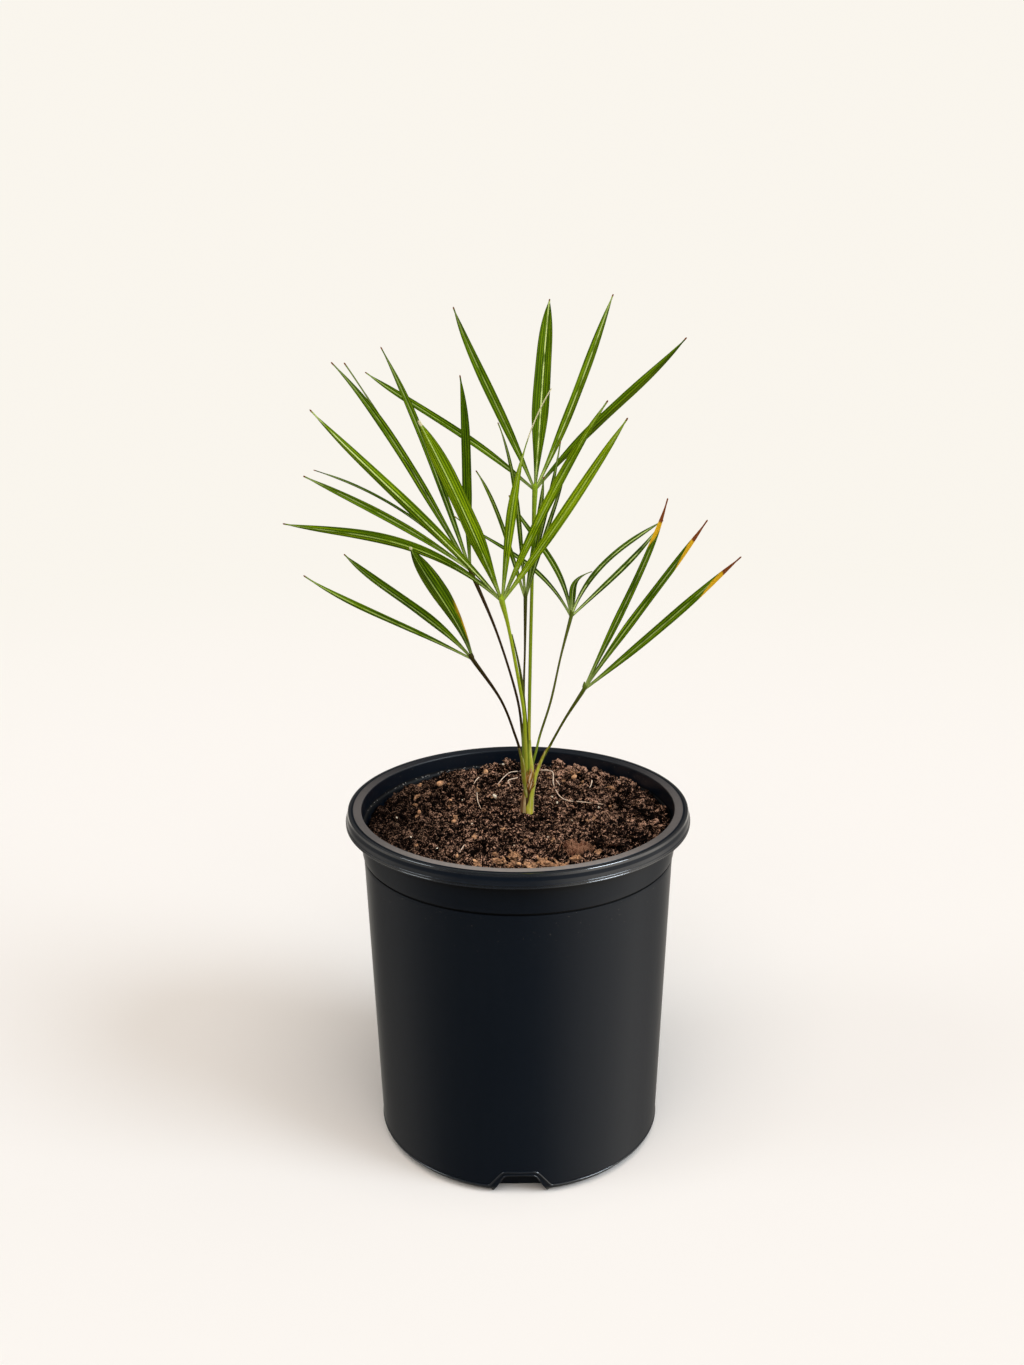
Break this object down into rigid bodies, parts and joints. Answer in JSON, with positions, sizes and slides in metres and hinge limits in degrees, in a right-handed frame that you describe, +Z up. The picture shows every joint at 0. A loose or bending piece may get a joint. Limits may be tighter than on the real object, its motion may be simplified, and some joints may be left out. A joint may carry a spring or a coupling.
{
  "type": "potted thatch palm",
  "caption": "Young fan palm with narrow pointed leaf blades on thin stalks, in a round black nursery pot filled with potting mix.",
  "frame": {"origin": "centre of the pot's underside, where it stands on the floor", "axes": "+Z up along the pot's axis, +Y away from the side that the picture shows, +X to the right in it"},
  "size_m": [0.2055, 0.1725, 0.411],
  "materials": {
    "pot_plastic": "satin",
    "potting_mix": "matte",
    "stem_sheath": "satin",
    "leaf_bright": "satin",
    "leaf_green": "satin",
    "leaf_dark": "satin",
    "dry_root": "matte"
  },
  "bodies": {
    "root": {"pot": "pot_plastic", "soil": "potting_mix", "stem": "stem_sheath", "frond_front": "leaf_bright", "frond_low_left": "leaf_green", "frond_back_left": "leaf_dark", "frond_top": "leaf_green", "frond_middle": "leaf_dark", "frond_back_right": "leaf_dark", "frond_low_right": "leaf_green", "spear": "leaf_green", "root_right": "dry_root", "root_left": "dry_root"}
  },
  "joints": []
}
